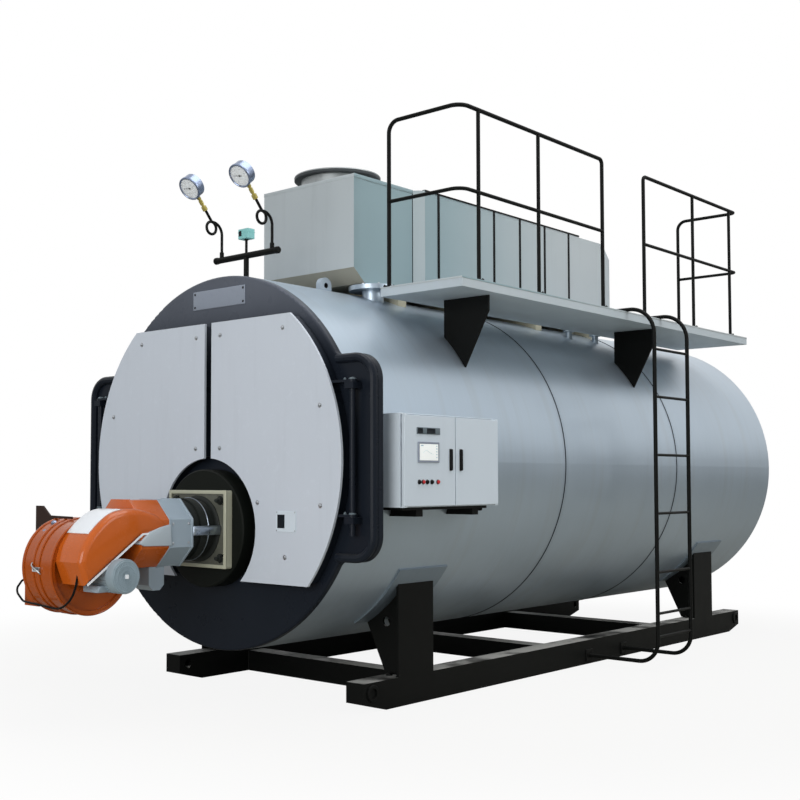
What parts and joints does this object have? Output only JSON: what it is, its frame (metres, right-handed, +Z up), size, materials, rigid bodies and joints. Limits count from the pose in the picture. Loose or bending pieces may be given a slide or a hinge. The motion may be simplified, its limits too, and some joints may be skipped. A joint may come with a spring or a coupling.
{
  "type": "industrial steam boiler",
  "caption": "Horizontal fire-tube steam boiler on a skid with front burner, hinged smoke-box doors, control cabinet, railed walkway, ladder and rooftop economizer.",
  "frame": {"origin": "ground level under the centre of the middle cross-beam, on the shell's vertical mid-plane", "axes": "+X to the walkway and cabinet side, +Y from the burner end towards the rear end along the shell, +Z up"},
  "size_m": [2.7555, 6.88, 3.6735],
  "materials": {
    "frame_black": "satin black paint",
    "shell_silver": "silver grey cladding paint, soft sheen",
    "front_navy": "dark slate paint, semi-gloss",
    "panel_grey": "light grey paint, satin",
    "deck_grey": "light grey paint, satin",
    "economizer_grey": "light grey sheet cladding, satin",
    "support_cream": "cream primer, matt",
    "flue_steel": "mill-finish sheet",
    "cabinet_grey": "light grey powder coat",
    "burner_orange": "orange enamel, glossy",
    "burner_grey": "blue-grey paint, satin",
    "burner_dark": "dark heat-proof paint",
    "flange_olive": "pale olive paint, satin",
    "brass": "plain brass",
    "gauge_steel": "polished steel case",
    "switch_teal": "pale teal housing"
  },
  "bodies": {
    "boiler": {"burner_bracket": "burner_dark", "burner_fan": "burner_orange", "burner_flange": "flange_olive", "burner_head": "burner_grey", "burner_hood": "burner_orange", "burner_inlet": "burner_orange", "burner_motor": "burner_grey", "burner_pipe": "frame_black", "burner_plate": "burner_dark", "burner_throat": "burner_dark", "burner_valve": "burner_grey", "cabinet": "cabinet_grey", "cabinet_shelf": "frame_black", "cross_beams": "frame_black", "deck": "deck_grey", "deck_brackets": "frame_black", "economizer_body": "economizer_grey", "economizer_outlet": "economizer_grey", "economizer_rear": "economizer_grey", "economizer_supports": "support_cream", "flue_neck": "flue_steel", "front_handrail": "frame_black", "front_plate": "front_navy", "gauge_cocks": "brass", "gauge_header": "frame_black", "gauges": "gauge_steel", "hinge_bearings": "front_navy", "ladder": "frame_black", "lifting_lugs": "shell_silver", "nozzles": "shell_silver", "pressure_switch": "switch_teal", "rear_cover": "shell_silver", "rear_handrail": "frame_black", "rear_plate": "shell_silver", "saddle_pads": "shell_silver", "saddles": "frame_black", "shell_front": "shell_silver", "shell_middle": "shell_silver", "shell_rear": "shell_silver", "siphons": "frame_black", "skid_beams": "frame_black"},
    "left_door": {"left_door": "front_navy", "left_door_panel": "panel_grey"},
    "right_door": {"right_door": "front_navy", "right_door_panel": "panel_grey"},
    "cabinet_front_door": {"cabinet_front_door": "cabinet_grey"},
    "cabinet_rear_door": {"cabinet_rear_door": "cabinet_grey"}
  },
  "joints": [
    {"name": "left_door_hinge", "type": "hinge", "parent": "boiler", "child": "left_door", "pos_m": [-1.145, -2.667, 1.48], "axis": [0, 0, -1], "range_deg": [0, 105]},
    {"name": "right_door_hinge", "type": "hinge", "parent": "boiler", "child": "right_door", "pos_m": [1.145, -2.667, 1.48], "axis": [0, 0, 1], "range_deg": [0, 105]},
    {"name": "cabinet_front_hinge", "type": "hinge", "parent": "boiler", "child": "cabinet_front_door", "pos_m": [1.337, -2.455, 1.47], "axis": [0, 0, -1], "range_deg": [0, 100]},
    {"name": "cabinet_rear_hinge", "type": "hinge", "parent": "boiler", "child": "cabinet_rear_door", "pos_m": [1.337, -1.583, 1.47], "axis": [0, 0, 1], "range_deg": [0, 100]}
  ]
}
